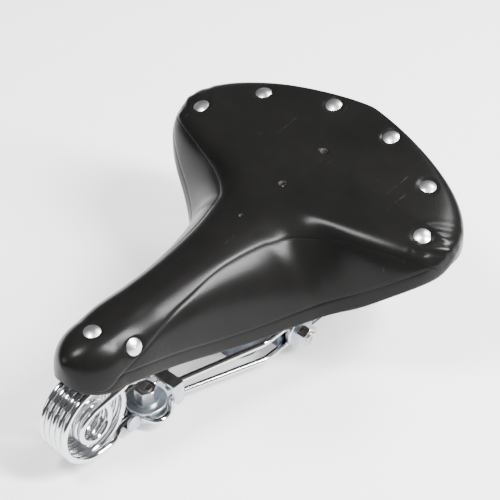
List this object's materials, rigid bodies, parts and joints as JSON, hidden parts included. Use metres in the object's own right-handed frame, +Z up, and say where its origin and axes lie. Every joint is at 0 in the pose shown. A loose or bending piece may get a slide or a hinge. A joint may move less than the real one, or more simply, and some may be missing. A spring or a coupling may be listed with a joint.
{
  "type": "bicycle saddle",
  "caption": "Sprung leather bicycle saddle on wire rails, with a coiled nose spring, rear coil springs and a clamp for a plain seatpost.",
  "frame": {"origin": "middle of the post clamp's lower mouth, where the seatpost enters", "axes": "+Z up along the seatpost, -Y towards the nose, +X towards the rider's left"},
  "size_m": [0.2192, 0.2782, 0.1162],
  "materials": {
    "leather": "satin",
    "nickel": "satin",
    "chrome": "gloss",
    "zinc": "satin",
    "steel": "satin",
    "dark_steel": "gloss"
  },
  "bodies": {
    "post_clip": {"post_collar": "dark_steel", "clamp_spacer": "dark_steel"},
    "clamp": {"clamp_bolt": "steel", "tooth_washer_left": "zinc", "tooth_washer_right": "zinc", "clamp_cheek_left": "dark_steel", "clamp_cheek_right": "dark_steel", "clamp_cap_left": "zinc", "clamp_cap_right": "zinc", "lock_washer_left": "zinc", "lock_washer_right": "zinc", "clamp_nut_left": "steel", "clamp_nut_right": "steel"},
    "undercarriage": {"lower_rail_left": "chrome", "lower_rail_right": "chrome", "upper_rail_left": "chrome", "upper_rail_right": "chrome", "nose_spring": "chrome", "front_clip": "zinc", "rear_clip": "zinc", "king_plate_upper": "zinc", "king_plate_lower": "zinc", "king_spacer": "steel", "king_bolt": "steel", "king_washer": "zinc", "king_nut": "steel", "rear_strap": "zinc", "spring_block_left": "dark_steel", "spring_block_right": "dark_steel", "lower_spring_cup_left": "zinc", "lower_spring_cup_right": "zinc", "lower_spring_bolt_left": "steel", "lower_spring_bolt_right": "steel", "lower_spring_nut_left": "steel", "lower_spring_nut_right": "steel", "rear_spring_left": "chrome", "rear_spring_right": "chrome"},
    "seat": {"leather_top": "leather", "nose_rivets": "nickel", "tail_rivets": "nickel", "nose_cup": "dark_steel", "cantle_plate": "dark_steel", "tension_bolt": "steel", "heart_spring": "chrome", "upper_spring_cup_left": "zinc", "upper_spring_cup_right": "zinc", "upper_spring_bolt_left": "steel", "upper_spring_bolt_right": "steel"},
    "tension_nut": {"tension_nut": "zinc"}
  },
  "joints": [
    {"name": "saddle_tilt", "type": "hinge", "parent": "post_clip", "child": "clamp", "pos_m": [0, 0.024, 0.013], "axis": [1, 0, 0], "range_deg": [-12, 12]},
    {"name": "rail_slide", "type": "slide", "parent": "clamp", "child": "undercarriage", "axis": [0, 1, 0], "range_m": [-0.012, 0.012]},
    {"name": "seat_flex", "type": "hinge", "parent": "undercarriage", "child": "seat", "pos_m": [0, -0.127, 0.0316], "axis": [1, 0, 0], "range_deg": [-5, 0], "stiffness_Nm_per_rad": 600, "springref_deg": 0.57, "deforming": ["rear_spring_left", "rear_spring_right"]},
    {"name": "tension_nut_turn", "type": "hinge", "parent": "seat", "child": "tension_nut", "pos_m": [0, -0.093, 0.05436], "axis": [0, 1, 0], "continuous": true}
  ]
}
